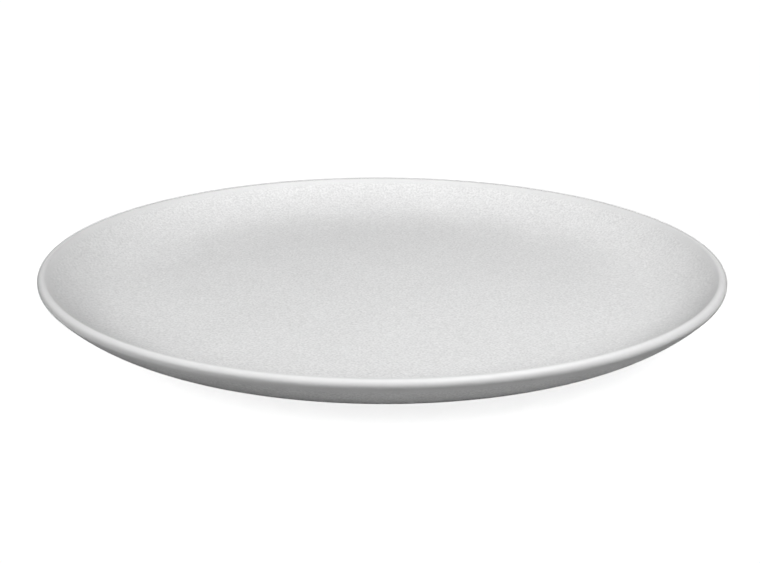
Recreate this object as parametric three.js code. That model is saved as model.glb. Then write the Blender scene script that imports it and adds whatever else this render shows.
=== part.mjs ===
// Bisque coupe plate: a shallow dish of fired, unglazed clay that curves up to its lip with no flat rim,
// and the foot ring that it stands on.
// Millimetres, +Z up. The origin is on the table, at the middle of the foot ring.

import * as THREE from "three";

// Plate body: a round of clay. Its upper face is flat in the middle, sweeps up slowly and then curves up to
// the lip. Its outer face curves down from the lip to the flat underside.
const PLATE_DIAMETER = 267;
const FLOOR_THICKNESS = 5.6; // between the two flats
const SWEEP_RADIUS = 150; // of the upper face, where it leaves the flat
const SWEEP_SLOPE = 7; // degrees above level, where the sweep ends and the coupe curve begins
const COUPE_RADIUS = 44; // of the upper face, from the sweep to the lip
const LIP_SLOPE = 42; // degrees above level, of the upper face where it ends in the lip
const LIP_THICKNESS = 4.3; // of the round lip
const OUTSIDE_RADIUS = 48; // of the outer face, from the lip to the underside
const SWEEP_STEPS = 4; // facets along the sweep
const BODY_ARC_STEPS = 8; // facets along each other arc of the body's section

// Foot ring: a ring of the same clay, stuck with slip to the flat underside.
const FOOT_HEIGHT = 4.8;
const FOOT_WIDTH = 6.4; // between its two sides
const FOOT_INSET = 8.5; // from the edge of the flat underside in to the edge of the slip
const SOLE_EDGE_RADIUS = 1.2; // sponged round on both edges of the sole
const SLIP_FILLET_RADIUS = 2.2; // slip wiped into the corners between the ring and the underside
const SLIP_EDGE_THICKNESS = 0.3; // of the slip where it ends on the underside
const FOOT_ARC_STEPS = 4; // facets along each arc of the ring's section

// Bisque: matt white clay.
const BISQUE_COLOUR = 0xe6e5e3;
const BISQUE_ROUGHNESS = 0.9;

const FACETS_ROUND = 96; // facets once round the plate

// Directions, as angles in a section: x is out from the plate's axis, and y is up.
const OUT = 0;
const UP = Math.PI / 2;
const IN = Math.PI;
const DOWN = -Math.PI / 2;
const CLOCKWISE = true;
const ANTICLOCKWISE = false;

// The way from one point of a section to another in a direction.
function step(direction, length) {
  return new THREE.Vector2(length, 0).rotateAround(new THREE.Vector2(), direction);
}

// The points of an arc of a section, with its two ends.
function arc(centre, radius, from, to, turn, steps) {
  return new THREE.EllipseCurve(centre.x, centre.y, radius, radius, from, to, turn).getPoints(steps);
}

// Levels of the body's section, and the directions in which two of its arcs end.
const underside = FOOT_HEIGHT;
const wellFloor = underside + FLOOR_THICKNESS;
const lipRadius = LIP_THICKNESS / 2;
const sweepEnd = DOWN + THREE.MathUtils.degToRad(SWEEP_SLOPE);
const coupeEnd = DOWN + THREE.MathUtils.degToRad(LIP_SLOPE);

// The arcs of the body's section run on into each other, so the centres of two of them lie in line with the
// point where they meet. All follow from the lip's middle, which the well's floor and the plate's edge fix.
const sweepToCoupe = step(sweepEnd, SWEEP_RADIUS - COUPE_RADIUS);
const coupeToLip = step(coupeEnd, COUPE_RADIUS + lipRadius);
const lipLevel = wellFloor + SWEEP_RADIUS + sweepToCoupe.y + coupeToLip.y;
const lipCentre = new THREE.Vector2(PLATE_DIAMETER / 2 - lipRadius, lipLevel);
const coupeCentre = lipCentre.clone().sub(coupeToLip);
const sweepCentre = coupeCentre.clone().sub(sweepToCoupe);
const outsideLevel = underside + OUTSIDE_RADIUS;
const outsideRun = Math.sqrt((OUTSIDE_RADIUS - lipRadius) ** 2 - (outsideLevel - lipLevel) ** 2);
const outsideCentre = new THREE.Vector2(lipCentre.x - outsideRun, outsideLevel);

// The body's section, from the axis out along the underside, round the lip and back along the upper face.
function bodySection() {
  const outsideEnd = lipCentre.clone().sub(outsideCentre).angle();
  const outside = arc(outsideCentre, OUTSIDE_RADIUS, DOWN, outsideEnd, ANTICLOCKWISE, BODY_ARC_STEPS);
  const lip = arc(lipCentre, lipRadius, outsideEnd, coupeEnd + Math.PI, ANTICLOCKWISE, BODY_ARC_STEPS);
  const coupe = arc(coupeCentre, COUPE_RADIUS, coupeEnd, sweepEnd, CLOCKWISE, BODY_ARC_STEPS);
  const sweep = arc(sweepCentre, SWEEP_RADIUS, sweepEnd, DOWN, CLOCKWISE, SWEEP_STEPS);
  const undersideMiddle = new THREE.Vector2(0, underside);
  const wellMiddle = new THREE.Vector2(0, wellFloor);
  // Where two arcs meet, the end of one is the start of the next and is taken once.
  return [undersideMiddle, ...outside, ...lip.slice(1), ...coupe.slice(1), ...sweep.slice(1), wellMiddle];
}

// The foot ring's section, from the sole's outer edge up to the flat joint under the body, in and back down.
function footSection() {
  // The slip leaves some of the ring's upright side bare, at least as much as its own edge is thick.
  const filletRoom = FOOT_HEIGHT - SOLE_EDGE_RADIUS - 2 * SLIP_EDGE_THICKNESS;
  const slipFillet = Math.min(SLIP_FILLET_RADIUS, filletRoom);
  const filletLevel = underside - SLIP_EDGE_THICKNESS - slipFillet;
  const outerJoint = outsideCentre.x - FOOT_INSET;
  const outerSide = outerJoint - slipFillet;
  const innerSide = outerSide - FOOT_WIDTH;
  const innerJoint = innerSide - slipFillet;

  const outerEdge = new THREE.Vector2(outerSide - SOLE_EDGE_RADIUS, SOLE_EDGE_RADIUS);
  const innerEdge = new THREE.Vector2(innerSide + SOLE_EDGE_RADIUS, SOLE_EDGE_RADIUS);
  const outerFillet = new THREE.Vector2(outerJoint, filletLevel);
  const innerFillet = new THREE.Vector2(innerJoint, filletLevel);
  const ring = [
    ...arc(outerEdge, SOLE_EDGE_RADIUS, DOWN, OUT, ANTICLOCKWISE, FOOT_ARC_STEPS),
    ...arc(outerFillet, slipFillet, IN, UP, CLOCKWISE, FOOT_ARC_STEPS),
    new THREE.Vector2(outerJoint, underside),
    new THREE.Vector2(innerJoint, underside),
    ...arc(innerFillet, slipFillet, UP, OUT, CLOCKWISE, FOOT_ARC_STEPS),
    ...arc(innerEdge, SOLE_EDGE_RADIUS, IN, DOWN, ANTICLOCKWISE, FOOT_ARC_STEPS),
  ];
  return [...ring, ring[0]]; // the section closes along the sole
}

// A section turned once round the plate's axis, as on a potter's wheel, in its own matt white clay.
function turned(name, section) {
  const geometry = new THREE.LatheGeometry(section, FACETS_ROUND);
  geometry.rotateX(Math.PI / 2); // the lathe turns about Y, and the plate's axis is Z
  const bisque = new THREE.MeshStandardMaterial({
    color: BISQUE_COLOUR,
    roughness: BISQUE_ROUGHNESS,
    metalness: 0,
  });
  const piece = new THREE.Mesh(geometry, bisque);
  piece.name = name;
  return piece;
}

const plate = new THREE.Group();
plate.name = "bisque_coupe_plate";
plate.add(turned("plate_body", bodySection()));
plate.add(turned("foot_ring", footSection()));

export default plate;
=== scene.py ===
# %% [markdown]
# # A bisque coupe plate
# A coupe plate has no flat rim: the well turns up in one curve and ends in a soft round lip. Bisque is
# clay that was fired once and not glazed, so there is no shine to look at. What the eye reads is the form,
# the even fall of light over it, and a dry, very fine grain.
#
# The dish and its foot ring exist already as plain solids, which fix every size. This lesson loads them as
# a frame, models each one again in the same place with a finer surface, and then lights the plate and sets
# up the camera.

# %% Load the frame
import math

import bmesh
import bpy
from mathutils import Matrix, Vector


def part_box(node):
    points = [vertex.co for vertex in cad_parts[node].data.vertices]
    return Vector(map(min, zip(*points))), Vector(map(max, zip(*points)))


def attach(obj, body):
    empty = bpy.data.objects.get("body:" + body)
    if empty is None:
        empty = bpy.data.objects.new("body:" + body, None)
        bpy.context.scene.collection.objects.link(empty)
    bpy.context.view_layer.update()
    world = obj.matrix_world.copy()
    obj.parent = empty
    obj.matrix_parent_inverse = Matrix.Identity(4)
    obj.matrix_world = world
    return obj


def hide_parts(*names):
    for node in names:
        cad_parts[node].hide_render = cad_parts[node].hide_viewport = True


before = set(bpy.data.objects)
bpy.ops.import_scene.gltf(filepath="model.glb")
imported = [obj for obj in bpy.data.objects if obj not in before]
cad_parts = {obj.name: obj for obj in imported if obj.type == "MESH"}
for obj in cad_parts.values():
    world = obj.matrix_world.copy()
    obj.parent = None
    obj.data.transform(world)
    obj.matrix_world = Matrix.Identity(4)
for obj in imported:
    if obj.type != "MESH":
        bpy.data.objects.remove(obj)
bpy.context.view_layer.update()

# %% [markdown]
# ## The sizes that the frame gives
# Blender works in metres here, and the plate was designed in millimetres. The outside sizes could be typed
# in again, but they are read from the two solids, so a new frame brings its own.

# %% Measure the frame
MM = 0.001

dish_low, dish_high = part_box("plate_body")
foot_low, foot_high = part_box("foot_ring")
plate_radius = dish_high.x
underside = dish_low.z
joint_radius = foot_high.x
print(f"plate: {2 * plate_radius / MM:.1f} mm across, underside {underside / MM:.1f} mm above the table")

# %% [markdown]
# ## The curves of the dish
# The thicknesses and curves between the outside sizes are the designer's values. The centres of the curves
# could be read off a drawing, but a new size would then pull the arcs apart. Where two arcs run on into each
# other, their centres lie in line with the point where they meet, so here each centre follows from the next.
# A point of the section is a distance from the axis and a height, which a flat vector calls x and y. The
# last line shows that the curves lead to the frame's rim.

# %% Find the centres of the arcs
FLOOR_THICKNESS = 5.6 * MM  # between the two flats
SWEEP_RADIUS = 150 * MM  # of the upper face, where it leaves the flat
SWEEP_SLOPE = math.radians(7)  # of the upper face, where the sweep ends and the coupe begins
COUPE_RADIUS = 44 * MM  # of the upper face, from the sweep to the lip
LIP_SLOPE = math.radians(42)  # of the upper face, where it ends in the lip
LIP_RADIUS = 2.15 * MM
OUTSIDE_RADIUS = 48 * MM  # of the outer face


def from_centre(slope, length):
    """The way from the centre of a hollow curve towards the point where it has this slope."""
    return Vector((math.sin(slope), -math.cos(slope))) * length


well_floor = underside + FLOOR_THICKNESS
sweep_to_coupe = from_centre(SWEEP_SLOPE, SWEEP_RADIUS - COUPE_RADIUS)
coupe_to_lip = from_centre(LIP_SLOPE, COUPE_RADIUS + LIP_RADIUS)
lip_level = well_floor + SWEEP_RADIUS + sweep_to_coupe.y + coupe_to_lip.y
lip_centre = Vector((plate_radius - LIP_RADIUS, lip_level))
coupe_centre = lip_centre - coupe_to_lip
sweep_centre = coupe_centre - sweep_to_coupe
outside_slope = math.acos((underside + OUTSIDE_RADIUS - lip_level) / (OUTSIDE_RADIUS - LIP_RADIUS))
outside_centre = lip_centre - from_centre(outside_slope, OUTSIDE_RADIUS - LIP_RADIUS)
rim_top = lip_level + LIP_RADIUS
print(f"rim top: {rim_top / MM:.2f} mm drawn, {dish_high.z / MM:.2f} mm in the frame")

# %% [markdown]
# ## A pencil for sections
# Both pieces are round, so each is a section turned about the plate's axis, as a potter turns clay on a
# wheel. The section could be a list of points, but arcs say better what the shape is. So one vertex is moved
# like a pencil: extruding it draws a straight stretch, and spinning it about a centre draws an arc.

# %% Straight stretches and arcs
ANTICLOCKWISE = (0, -1, 0)  # the axis to spin about, seen from the front with X to the right and Z up


def draw_line(section, pencil, x, z, steps=1):
    """Draws a straight stretch to a point of the section in even steps and returns the pencil there."""
    start = pencil.co.copy()
    for step in range(steps):
        pencil = bmesh.ops.extrude_vert_indiv(section, verts=[pencil])["verts"][0]
        pencil.co = start.lerp((x, 0, z), (step + 1) / steps)
    return pencil


def draw_arc(section, pencil, centre, angle, steps):
    """Spins the pencil about a point of the section, anticlockwise if the angle is positive."""
    middle = (centre[0], 0, centre[1])
    made = bmesh.ops.spin(
        section, geom=[pencil], cent=middle, axis=ANTICLOCKWISE, angle=angle, steps=steps
    )
    return made["geom_last"][0]


# %% [markdown]
# ## The wheel
# A full spin about Z makes the section a solid of revolution. A Screw modifier would do the same, but the
# clay is still to be shaped by hand, so it has to be real points. Those on the axis are spun too and come
# out as one for each step, so doubles are merged before the normals are made to face outwards.

# %% Turn a section
WHEEL_STEPS = 288  # 2.9 mm along the lip, too short to see as flats
SAME_PLACE = 0.001 * MM  # two points closer than this are one


def turn_on_wheel(section):
    """Turns a drawn section once round the plate's axis."""
    bmesh.ops.spin(
        section,
        geom=section.verts[:] + section.edges[:],
        cent=(0, 0, 0),
        axis=(0, 0, 1),
        angle=math.tau,
        steps=WHEEL_STEPS,
        use_merge=True,
    )
    bmesh.ops.remove_doubles(section, verts=section.verts, dist=SAME_PLACE)
    bmesh.ops.recalc_face_normals(section, faces=section.faces)


def take_off_wheel(clay, name):
    """Makes the turned clay an object with smooth shading, at the origin of the frame."""
    mesh = bpy.data.meshes.new(name)
    clay.to_mesh(mesh)
    clay.free()
    mesh.shade_smooth()
    piece = bpy.data.objects.new(name, mesh)
    bpy.context.scene.collection.objects.link(piece)
    print(f"{name}: {len(mesh.vertices)} points, {len(mesh.polygons)} faces")
    return piece


# %% [markdown]
# ## The dish
# The dish is one round of clay. Its section runs from the axis out along the underside, up the outer face,
# over the lip, and back down the upper face. The upper face comes down from the lip in a tight curve, the
# coupe, and then eases in a long shallow sweep onto the flat of the well, so that no edge shows where it
# ends. The outer face is one curve. The lip is the small round that touches both of them.

# %% Draw and turn the dish
CURVE_STEPS = 24
LIP_STEPS = 24
SWEEP_STEPS = 12
FLAT_STEPS = 16

dish_clay = bmesh.new()
pencil = dish_clay.verts.new((0, 0, underside))
pencil = draw_line(dish_clay, pencil, outside_centre.x, underside, FLAT_STEPS)
pencil = draw_arc(dish_clay, pencil, outside_centre, outside_slope, CURVE_STEPS)
pencil = draw_arc(dish_clay, pencil, lip_centre, math.pi + LIP_SLOPE - outside_slope, LIP_STEPS)
pencil = draw_arc(dish_clay, pencil, coupe_centre, SWEEP_SLOPE - LIP_SLOPE, CURVE_STEPS)
pencil = draw_arc(dish_clay, pencil, sweep_centre, -SWEEP_SLOPE, SWEEP_STEPS)
draw_line(dish_clay, pencil, 0, well_floor, FLAT_STEPS)
turn_on_wheel(dish_clay)
print(f"dish: the well is flat over {2 * sweep_centre.x / MM:.1f} mm")

# %% [markdown]
# ## How clay moves in the kiln
# No fired plate is a perfect turned shape. The free side lifts and sinks a little in slow waves round the
# rim, and the lip, wiped round by hand with a sponge, isn't quite even. A displacement texture could do
# that, but two cosines are easier to control, and they leave the flat that the foot holds as it is.

# %% Let the dish settle
KILN_WAVES = ((2, 0.10 * MM, 0.6), (3, 0.05 * MM, 2.1))  # waves round the rim, height and turn of each


def settle(clay):
    """Lifts the side outside the foot in slow waves, more towards the lip."""
    for point in clay.verts:
        around = math.atan2(point.co.y, point.co.x)
        out = (point.co.xy.length - joint_radius) / (plate_radius - joint_radius)
        free = max(0, out) ** 2
        for waves, height, turn in KILN_WAVES:
            point.co.z += free * height * math.cos(waves * around + turn)


settle(dish_clay)
print(f"settled: the rim reaches {max(point.co.z for point in dish_clay.verts) / MM:.2f} mm")

# %% [markdown]
# ## Marking what the tool and the sponge did
# The inside will be sponged, the lip wiped once more, and the underside keeps the rings of the profile tool.
# The finish has to tell them apart later. It could go by height alone, but the lip has both sides at one
# height. So each point gets two marks now: one from the way that the surface faces, and one from how far it
# lies from the round of the lip.

# %% Mark and take off the dish
TOOL_SIDE = "tool_side"
FULL_MARK = 0.5  # of the way from level to straight down
WIPED_LIP = "wiped_lip"
WIPE_FADE = 1.5 * MM  # from the lip's round to where the sponge lets go


def mark_clay(clay):
    """Marks each point from 0 to 1: how far it faces down, and how close it lies to the lip."""
    tool = clay.verts.layers.float.new(TOOL_SIDE)
    wiped = clay.verts.layers.float.new(WIPED_LIP)
    clay.normal_update()
    for point in clay.verts:
        point[tool] = min(1, max(0, -point.normal.z / FULL_MARK))
        off_lip = (Vector((point.co.xy.length, point.co.z)) - lip_centre).length - LIP_RADIUS
        point[wiped] = min(1, max(0, 1 - off_lip / WIPE_FADE))


mark_clay(dish_clay)
coupe_dish = take_off_wheel(dish_clay, "coupe_dish")

# %% [markdown]
# ## The foot ring
# The foot is a ring of the same clay. It is pressed onto the flat underside with slip, which is clay thinned
# with water, and the slip that squeezes out is wiped into the corners with a wet finger. So its section has
# a flat sole with sponged edges, two upright sides, and two hollow corners that run out on the underside.
# A bevelled ring would be quicker, but its hollow corners would need a second piece. Drawn as one section,
# they come with the ring.

# %% Draw and turn the foot ring
FOOT_WIDTH = 6.4 * MM
SOLE_EDGE_RADIUS = 1.2 * MM
SLIP_FILLET_RADIUS = 2.2 * MM
SLIP_EDGE_THICKNESS = 0.1 * MM  # wiped out to a feather edge, thinner than the solid's
FOOT_STEPS = 10
SOLE_STEPS = 4

quarter = math.pi / 2
outer_side = joint_radius - SLIP_FILLET_RADIUS
inner_side = outer_side - FOOT_WIDTH
inner_joint = inner_side - SLIP_FILLET_RADIUS
outer_sole = outer_side - SOLE_EDGE_RADIUS
inner_sole = inner_side + SOLE_EDGE_RADIUS
sole = foot_low.z
edge_level = sole + SOLE_EDGE_RADIUS
slip_edge = underside - SLIP_EDGE_THICKNESS
fillet_level = slip_edge - SLIP_FILLET_RADIUS

foot_clay = bmesh.new()
pencil = foot_clay.verts.new((inner_sole, 0, sole))
pencil = draw_line(foot_clay, pencil, outer_sole, sole, SOLE_STEPS)
pencil = draw_arc(foot_clay, pencil, (outer_sole, edge_level), quarter, FOOT_STEPS)
pencil = draw_line(foot_clay, pencil, outer_side, fillet_level)
pencil = draw_arc(foot_clay, pencil, (joint_radius, fillet_level), -quarter, FOOT_STEPS)
pencil = draw_line(foot_clay, pencil, joint_radius, underside)
pencil = draw_line(foot_clay, pencil, inner_joint, underside)
pencil = draw_line(foot_clay, pencil, inner_joint, slip_edge)
pencil = draw_arc(foot_clay, pencil, (inner_joint, fillet_level), -quarter, FOOT_STEPS)
pencil = draw_line(foot_clay, pencil, inner_side, edge_level)
draw_arc(foot_clay, pencil, (inner_sole, edge_level), quarter, FOOT_STEPS)
bmesh.ops.remove_doubles(foot_clay, verts=foot_clay.verts, dist=SAME_PLACE)  # closes the section
turn_on_wheel(foot_clay)
print(f"foot ring: the sole is {2 * inner_sole / MM:.1f} to {2 * outer_sole / MM:.1f} mm across")

# %% [markdown]
# ## Slip wiped by hand
# A finger that runs round a corner never stops at quite the same radius, so the edges of the slip wander.
# Each point could be moved by chance, but that would look torn and not wiped. A few waves of different
# lengths round the ring are enough: added up, they don't look regular. The sole is left alone.

# %% Wipe the slip
SLIP_WANDER = 0.35 * MM
SLIP_WAVES = ((5, 0.5, 0.4), (9, 0.3, 1.9), (14, 0.2, 4.2))  # waves round the ring, share and turn of each


def wipe_slip(clay):
    """Moves both edges of the slip in and out, more towards the underside."""
    mid_ring = (outer_side + inner_side) / 2
    for point in clay.verts:
        radius = point.co.xy.length
        side = 1 if radius > mid_ring else -1
        up = max(0, point.co.z - fillet_level) / (underside - fillet_level)
        around = math.atan2(point.co.y, point.co.x)
        wave = sum(share * math.cos(waves * around + side * turn) for waves, share, turn in SLIP_WAVES)
        point.co.xy *= 1 + side * up**2 * SLIP_WANDER * wave / radius


wipe_slip(foot_clay)
luted_foot = take_off_wheel(foot_clay, "luted_foot")

# %% [markdown]
# ## Placing the pieces in the frame
# Each new piece lies where its solid lies, so it only has to hide the solid that it stands for and hang from
# the body that it moves with. The plate has no joints, so there is one body, the root.

# %% Stand in for the solids
for piece, node, slot in (
    (coupe_dish, "plate_body", "bisque_body"),
    (luted_foot, "foot_ring", "bisque_foot"),
):
    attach(piece, "root")
    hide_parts(node)
    print(f"{piece.name} stands for {node} and takes the finish of {slot}")

# %% [markdown]
# ## Helpers for the finishes
# A colour is written as the sRGB hex value that a paint program shows, and Blender's nodes want linear
# light, so one function turns it. One more adds a node, sets what is the same all over and links what isn't.

# %% Colours and nodes


def linear(hex_colour):
    """Turns an sRGB hex colour into linear red, green, blue and alpha."""
    shares = [int(hex_colour[i : i + 2], 16) / 255 for i in (1, 3, 5)]
    return [s / 12.92 if s <= 0.04045 else ((s + 0.055) / 1.055) ** 2.4 for s in shares] + [1.0]


def new_material(name):
    """Makes a material with an empty node tree."""
    material = bpy.data.materials.new(name)
    material.use_nodes = True
    material.node_tree.nodes.clear()
    return material


def add_node(material, kind, inputs=None, **settings):
    """Adds a node: settings are its own properties, and inputs are values or the sockets to link."""
    tree = material.node_tree
    node = tree.nodes.new(kind)
    for name, value in settings.items():
        setattr(node, name, value)
    for name, value in (inputs or {}).items():
        if isinstance(value, bpy.types.NodeSocket):
            tree.links.new(value, node.inputs[name])
        else:
            node.inputs[name].default_value = value
    return node


print(f"the grey #808080 is {linear('#808080')[0]:.3f} of white in linear light")

# %% [markdown]
# ## What all of the clay has
# White earthenware after its first firing is dry and porous. Three things break up its white: a fine grain
# like very fine sandpaper, a soft cloudiness from the sponge, and here and there a pinhole where a bubble
# burst. A pinhole is a real dent, and its darker colour is painted shade in the hole. Each of the three
# could be painted on an image, but patterns that read Object coordinates run through the clay like real
# grain, with
# no seams. Every pattern adds to two sums: how bright the clay is, and how high its surface stands, in
# millimetres. Where the lip was wiped, the grain is laid flat, so there it fades to its middle value. The
# foot has no such mark, and a mark that is missing reads as 0.

# %% Grain, clouds and pinholes
GRAIN_SIZE = 0.85 * MM  # the real grain is finer; drawn this coarse so that a pixel can show it
GRAIN_HEIGHT = 0.006
GRAIN_SHADE = 0.35
GRAIN_MIDDLE = 0.5  # of the noise, which runs from 0 to 1
CLOUD_SIZE = 16 * MM
CLOUD_SHADE = 0.03
PINHOLE_SPACING = 5 * MM
PINHOLE_RADIUS = 0.3 * MM
PINHOLE_DEPTH = 0.12
# the darker colour in each pinhole is painted shade, as if the hole were in shadow
PINHOLE_PAINTED_SHADE = 0.12


def add_clay(material):
    """Adds the patterns that all of the clay has, and returns the sockets that the finishes go on from."""
    place = add_node(material, "ShaderNodeTexCoord").outputs["Object"]
    grain = add_node(
        material, "ShaderNodeTexNoise", {"Vector": place, "Scale": 1 / GRAIN_SIZE, "Detail": 1.0}
    ).outputs["Fac"]
    wiped = add_node(material, "ShaderNodeAttribute", attribute_name=WIPED_LIP).outputs["Fac"]
    grain = add_node(
        material, "ShaderNodeMix", {"Factor": wiped, "A": grain, "B": GRAIN_MIDDLE}
    ).outputs["Result"]
    clouds = add_node(
        material, "ShaderNodeTexNoise", {"Vector": place, "Scale": 1 / CLOUD_SIZE, "Detail": 3.0}
    ).outputs["Fac"]
    cells = add_node(material, "ShaderNodeTexVoronoi", {"Vector": place, "Scale": 1 / PINHOLE_SPACING})
    pinhole_dent_and_painted_shade = add_node(
        material,
        "ShaderNodeMapRange",
        {
            "Value": cells.outputs["Distance"],
            "From Max": PINHOLE_RADIUS / PINHOLE_SPACING,
            "To Min": 1.0,
            "To Max": 0.0,
        },
        interpolation_type="SMOOTHSTEP",
    ).outputs["Result"]

    bright = 1 - (GRAIN_SHADE + CLOUD_SHADE) / 2  # so that the clay is as white as its hex value on average
    height = 0.0
    for pattern, shade, rise in (
        (grain, GRAIN_SHADE, GRAIN_HEIGHT),
        (clouds, CLOUD_SHADE, 0.0),
        # a pinhole darkens the colour with painted shade and sinks the surface with a real dent
        (pinhole_dent_and_painted_shade, -PINHOLE_PAINTED_SHADE, -PINHOLE_DEPTH),
    ):
        bright, height = [
            add_node(
                material, "ShaderNodeMath", {0: pattern, 1: share, 2: so_far}, operation="MULTIPLY_ADD"
            ).outputs["Value"]
            for share, so_far in ((shade, bright), (rise, height))
        ]
    return {"place": place, "clouds": clouds, "bright": bright, "height": height}


# %% [markdown]
# ## From the sums to a surface
# Whatever patterns it has, fired clay ends in one shader. The first sum scales the white of the clay. The
# second tilts the light on the surface through a bump. Real displacement could do that too, but a grain of
# this size would need millions of faces. The IOR is the usual one of baked minerals, about 1.5.

# %% One surface for fired clay
BISQUE_WHITE = "#e9e9e9"
CLAY_IOR = 1.5


def finish_clay(material, clay, roughness):
    """Joins the sums to one surface of fired clay: Base Color, Roughness and Normal."""
    colour = add_node(
        material, "ShaderNodeHueSaturation", {"Color": linear(BISQUE_WHITE), "Value": clay["bright"]}
    ).outputs["Color"]
    normal = add_node(
        material, "ShaderNodeBump", {"Strength": 1.0, "Distance": MM, "Height": clay["height"]}
    ).outputs["Normal"]
    surface = add_node(
        material,
        "ShaderNodeBsdfPrincipled",
        {"Base Color": colour, "Roughness": roughness, "IOR": CLAY_IOR, "Normal": normal},
    )
    add_node(material, "ShaderNodeOutputMaterial", {"Surface": surface.outputs["BSDF"]})


# %% [markdown]
# ## Bisque earthenware, fettled and sponged
# The inside of the dish and its lip were smoothed with a damp sponge, so they are matt with a soft, wide
# sheen. The underside was cut by a profile tool while the clay turned, and keeps its rings. An image mask
# could tell the two sides apart, but the mesh knows them already: each point carries the mark that was
# written on the wheel.

# %% Dish finish
SPONGED_ROUGHNESS = (0.56, 0.66)  # in the darkest and the brightest clouds
TOOL_RING_SPACING = 1.7 * MM
TOOL_RING_HEIGHT = 0.02
WAVE_TURNS = 20  # Blender's ring wave goes through this many radians in a unit of length

sponged = new_material("bisque_earthenware_sponged")
clay = add_clay(sponged)
rings = add_node(
    sponged,
    "ShaderNodeTexWave",
    {
        "Vector": clay["place"],
        "Scale": math.tau / WAVE_TURNS / TOOL_RING_SPACING,
        "Distortion": 2.0,
        "Detail": 2.0,
        "Detail Scale": 1.0,
    },
    wave_type="RINGS",
    rings_direction="Z",
).outputs["Fac"]
tool_side = add_node(sponged, "ShaderNodeAttribute", attribute_name=TOOL_SIDE).outputs["Fac"]
tool_rings = add_node(
    sponged, "ShaderNodeMath", {0: rings, 1: tool_side}, operation="MULTIPLY"
).outputs["Value"]
clay["height"] = add_node(
    sponged,
    "ShaderNodeMath",
    {0: tool_rings, 1: TOOL_RING_HEIGHT, 2: clay["height"]},
    operation="MULTIPLY_ADD",
).outputs["Value"]
roughness = add_node(
    sponged,
    "ShaderNodeMapRange",
    {"Value": clay["clouds"], "To Min": SPONGED_ROUGHNESS[0], "To Max": SPONGED_ROUGHNESS[1]},
).outputs["Result"]
finish_clay(sponged, clay, roughness)
coupe_dish.data.materials.append(sponged)
print(f"{sponged.name}: {len(sponged.node_tree.nodes)} nodes on {coupe_dish.name}")

# %% [markdown]
# ## Bisque earthenware, luted and sanded
# The foot ring is the same clay. Its sides were sponged with the dish, and after the firing its sole was
# rubbed on wet grit so that it scratches no table. The sanded ring is rougher and a little greyer. A second
# material on the sole's faces could show that, but with a hard edge. The ring ends where the sole's edge
# turns up, so height above the table is all that a soft mask needs.

# %% Foot finish
SANDED_LEVEL = 0.25 * MM
SPONGED_LEVEL = 0.7 * MM
SANDED_SHADE = 0.07
SANDED_ROUGHNESS = 0.85
GRIT_SIZE = 0.8 * MM
GRIT_HEIGHT = 0.05

sanded = new_material("bisque_earthenware_luted_and_sanded")
clay = add_clay(sanded)
level = add_node(sanded, "ShaderNodeSeparateXYZ", {"Vector": clay["place"]}).outputs["Z"]
sole_mask = add_node(
    sanded,
    "ShaderNodeMapRange",
    {"Value": level, "From Min": SANDED_LEVEL, "From Max": SPONGED_LEVEL, "To Min": 1.0, "To Max": 0.0},
).outputs["Result"]
grit = add_node(
    sanded, "ShaderNodeTexNoise", {"Vector": clay["place"], "Scale": 1 / GRIT_SIZE, "Detail": 2.0}
).outputs["Fac"]
sole_grit = add_node(
    sanded, "ShaderNodeMath", {0: grit, 1: sole_mask}, operation="MULTIPLY"
).outputs["Value"]
clay["height"] = add_node(
    sanded, "ShaderNodeMath", {0: sole_grit, 1: GRIT_HEIGHT, 2: clay["height"]}, operation="MULTIPLY_ADD"
).outputs["Value"]
clay["bright"] = add_node(
    sanded, "ShaderNodeMath", {0: sole_mask, 1: -SANDED_SHADE, 2: clay["bright"]}, operation="MULTIPLY_ADD"
).outputs["Value"]
roughness = add_node(
    sanded,
    "ShaderNodeMapRange",
    {"Value": sole_mask, "To Min": SPONGED_ROUGHNESS[1], "To Max": SANDED_ROUGHNESS},
).outputs["Result"]
finish_clay(sanded, clay, roughness)
luted_foot.data.materials.append(sanded)
print(f"{sanded.name}: {len(sanded.node_tree.nodes)} nodes on {luted_foot.name}")

# %% [markdown]
# ## The floor and what it throws back
# The plate stands on a white studio sweep, so bright that it looks empty. A floor as bright as that would
# also light the outside of the plate from below far more than it should be, so the job is split. The camera
# sees a floor that glows a little, which keeps the shadow thin. The plate sees a grey card that lies in the
# same place.

# %% Floor and bounce card
FLOOR_RADIUS = 6.0  # in metres, as the card's is
FLOOR_GLOW = 0.88
CARD_RADIUS = 1.2
CARD_GREY = "#c4c4c4"
CARD_DROP = 0.2 * MM  # the card lies just under the floor
DISC_SIDES = 96


def lay_disc(name, radius, level, colour, glow=0.0):
    """Lays a flat round sheet with a matt finish, which belongs to the stage and not to the plate."""
    sheet = bmesh.new()
    bmesh.ops.create_circle(sheet, cap_ends=True, segments=DISC_SIDES, radius=radius)
    bmesh.ops.translate(sheet, verts=sheet.verts, vec=(0, 0, level))
    mesh = bpy.data.meshes.new(name)
    sheet.to_mesh(mesh)
    sheet.free()
    disc = bpy.data.objects.new(name, mesh)
    bpy.context.scene.collection.objects.link(disc)
    paint = new_material(name + "_paint")
    shade = linear(colour)
    matt = add_node(
        paint,
        "ShaderNodeBsdfPrincipled",
        {
            "Base Color": shade,
            "Roughness": 1.0,
            "Specular IOR Level": 0.0,
            "Emission Color": shade,
            "Emission Strength": glow,
        },
    )
    add_node(paint, "ShaderNodeOutputMaterial", {"Surface": matt.outputs["BSDF"]})
    mesh.materials.append(paint)
    print(f"{name}: {2 * radius:.1f} m across")
    return disc


floor = lay_disc("floor", FLOOR_RADIUS, sole, "#ffffff", FLOOR_GLOW)
card = lay_disc("bounce_card", CARD_RADIUS, sole - CARD_DROP, CARD_GREY)
for ray in ("visible_diffuse", "visible_glossy", "visible_shadow"):
    setattr(floor, ray, False)
card.visible_camera = False
card.visible_shadow = False

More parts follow.
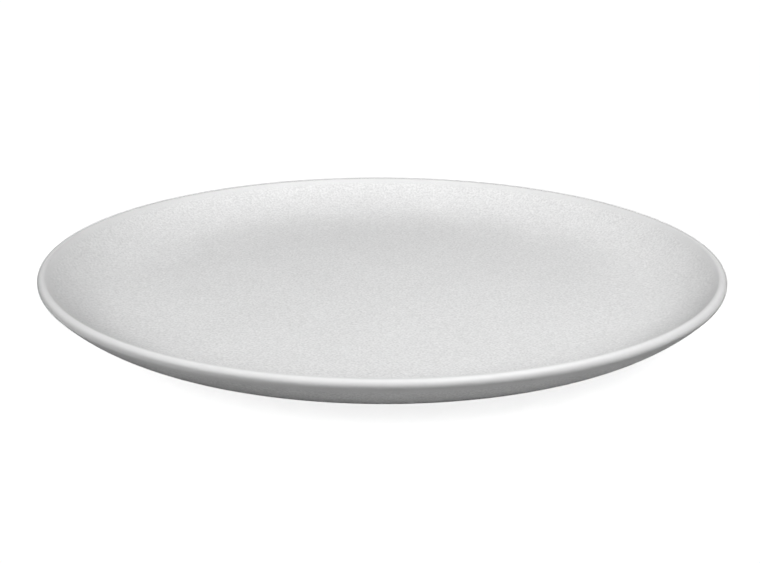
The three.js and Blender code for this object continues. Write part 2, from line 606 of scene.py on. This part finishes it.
# %% [markdown]
# ## Studio light
# Three round softboxes light the plate: a key high up at the front right, a weaker fill low at the left, and
# a faint one low in front, which brings out the lip. A grid in front of each keeps its light in a beam, so
# both ends of the plate fall off a little. The far floor would stay dark, so it has a wide light of its own.
# Light linking tells each light what it falls on, which is easier to steer than one set of lights that has
# to suit both.

# %% Softboxes and floor light
AIM = Vector((0, 0, rim_top))
SOFTBOX_DISTANCE = 1.1  # in metres, as the size is
SOFTBOX_SIZE = 0.45
SOFTBOX_BEAM = math.radians(60)


def around_plate(azimuth, elevation, distance):
    """A place round the plate: azimuth is in degrees from the front towards the right."""
    turn, rise = math.radians(azimuth), math.radians(elevation)
    away = Vector((math.cos(rise) * math.sin(turn), -math.cos(rise) * math.cos(turn), math.sin(rise)))
    return AIM + away * distance


def hang_light(name, kind, azimuth, elevation, lit, **settings):
    """Hangs a light round the plate, turned to it, that falls only on the things it should light."""
    lamp = bpy.data.lights.new(name, kind)
    for setting, value in settings.items():
        setattr(lamp, setting, value)
    light = bpy.data.objects.new(name, lamp)
    bpy.context.scene.collection.objects.link(light)
    light.location = around_plate(azimuth, elevation, SOFTBOX_DISTANCE)
    light.rotation_euler = (light.location - AIM).to_track_quat("Z", "Y").to_euler()
    light.visible_camera = False
    receivers = bpy.data.collections.new("lit_by_" + name)
    for thing in lit:
        receivers.objects.link(thing)
    light.light_linking.receiver_collection = receivers
    print(f"{name}: {azimuth} degrees round, {elevation} up, on {', '.join(thing.name for thing in lit)}")


plate_and_card = (coupe_dish, luted_foot, card)
softbox = {"shape": "DISK", "size": SOFTBOX_SIZE, "spread": SOFTBOX_BEAM}
for name, azimuth, elevation, watts in (
    ("key_softbox", 50, 57, 1.41),
    ("fill_softbox", -67, 30, 0.72),
    ("front_softbox", 15, 20, 0.10),
):
    hang_light(name, "AREA", azimuth, elevation, plate_and_card, energy=watts, **softbox)
hang_light("floor_light", "SUN", 60, 75, (floor,), energy=0.5, angle=math.radians(70))

# %% [markdown]
# ## The backdrop
# The studio sweep goes on up behind the plate. A sheet of paper could be hung there, but a world of even
# white looks the same with less. It is only for the camera: the clay doesn't see it, because the softboxes
# already give all the light that the plate should have.

# %% White world
world = bpy.data.worlds.new("white_studio")
world.use_nodes = True
world.node_tree.nodes["Background"].inputs["Color"].default_value = linear("#ffffff")
world.cycles_visibility.diffuse = False
world.cycles_visibility.glossy = False
bpy.context.scene.world = world
print(f"{world.name}: seen by the camera alone")

# %% [markdown]
# ## Picture style
# A camera doesn't show light as it measured it: its picture style adds contrast, so that white clay on a
# white floor doesn't look flat. Blender's Standard view adds none, and its gamma below one does what the
# picture style does.

# %% Contrast
PICTURE_CONTRAST = 1.5

view = bpy.context.scene.view_settings
view.view_transform = "Standard"
view.gamma = 1 / PICTURE_CONTRAST
print(f"view: {view.view_transform}, gamma {view.gamma:.3f}")

# %% [markdown]
# ## The camera
# The place of the camera comes from the outline of the rim in the photograph. The rim is a level circle, and
# the way its ellipse flattens and its near half grows fixes the camera's height, distance and lens. A long
# lens from further off would make the two halves alike.

# %% Camera
EYE_DISTANCE = 734 * MM  # from the middle of the rim
EYE_ELEVATION = 16.91  # degrees
EYE_ROLL = math.radians(0.16)
LOOK_AT = Vector((-0.80 * MM, -26.85 * MM, rim_top))
LENS = 88.61  # in millimetres, as Blender wants it
SENSOR_WIDTH = 36  # in millimetres too

camera_data = bpy.data.cameras.new("camera")
camera_data.lens = LENS
camera_data.sensor_width = SENSOR_WIDTH
camera = bpy.data.objects.new("camera", camera_data)
bpy.context.scene.collection.objects.link(camera)
camera.location = around_plate(0, EYE_ELEVATION, EYE_DISTANCE)
level_view = (LOOK_AT - camera.location).to_track_quat("-Z", "Y").to_matrix()
camera.rotation_euler = (level_view @ Matrix.Rotation(EYE_ROLL, 3, "Z")).to_euler()
bpy.context.scene.camera = camera
print(f"camera: {camera.location.z / MM:.0f} mm above the table, {-camera.location.y / MM:.0f} mm in front")
